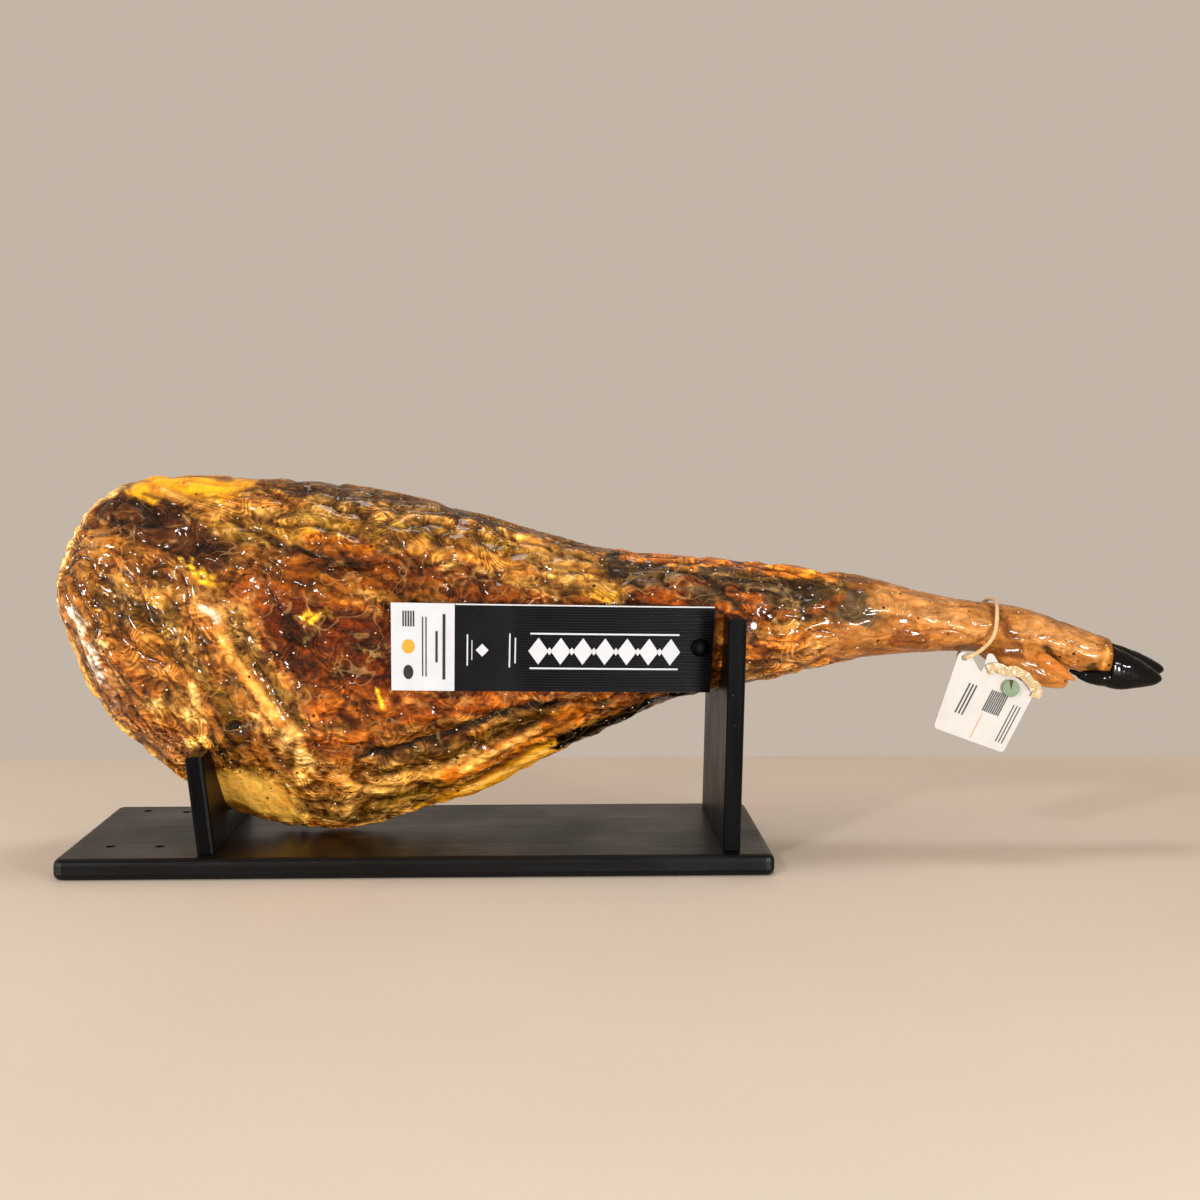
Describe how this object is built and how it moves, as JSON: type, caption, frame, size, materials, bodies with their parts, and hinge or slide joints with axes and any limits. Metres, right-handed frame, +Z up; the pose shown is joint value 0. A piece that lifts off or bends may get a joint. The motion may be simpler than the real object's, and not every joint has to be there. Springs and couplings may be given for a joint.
{
  "type": "cured ham in a wooden stand",
  "caption": "Whole bone-in cured ham with its hoof, resting in a black wooden display stand, with a plain label card and a hang tag.",
  "frame": {"origin": "middle of the base board's underside", "axes": "+X along the leg to the hoof, +Y away from the side with the label card, +Z up"},
  "size_m": [0.824, 0.19, 0.2781],
  "materials": {
    "stand_black": "black lacquered wood, satin, with a faint grain",
    "cured_ham": "oily dried meat and fat, glossy, brown to yellow",
    "hoof_horn": "black horn, glossy",
    "dewclaw_horn": "amber horn, glossy",
    "label_board": "black printed card, satin, with a white panel and a white core",
    "stud_black": "black plastic, satin",
    "loop_cream": "cream band, satin",
    "tag_white": "white coated card, satin",
    "seal_green": "pale green plastic, satin",
    "strap_cream": "cream plastic film, glossy"
  },
  "bodies": {
    "root": {"base_board": "stand_black", "butt_board": "stand_black", "shank_board": "stand_black", "ham": "cured_ham", "hoof_near": "hoof_horn", "hoof_far": "hoof_horn", "dewclaw_near": "dewclaw_horn", "dewclaw_far": "dewclaw_horn", "label_card": "label_board", "label_stud": "stud_black", "tag_loop": "loop_cream", "hang_tag": "tag_white", "seal_disc": "seal_green", "seal_strap": "strap_cream"}
  },
  "joints": []
}
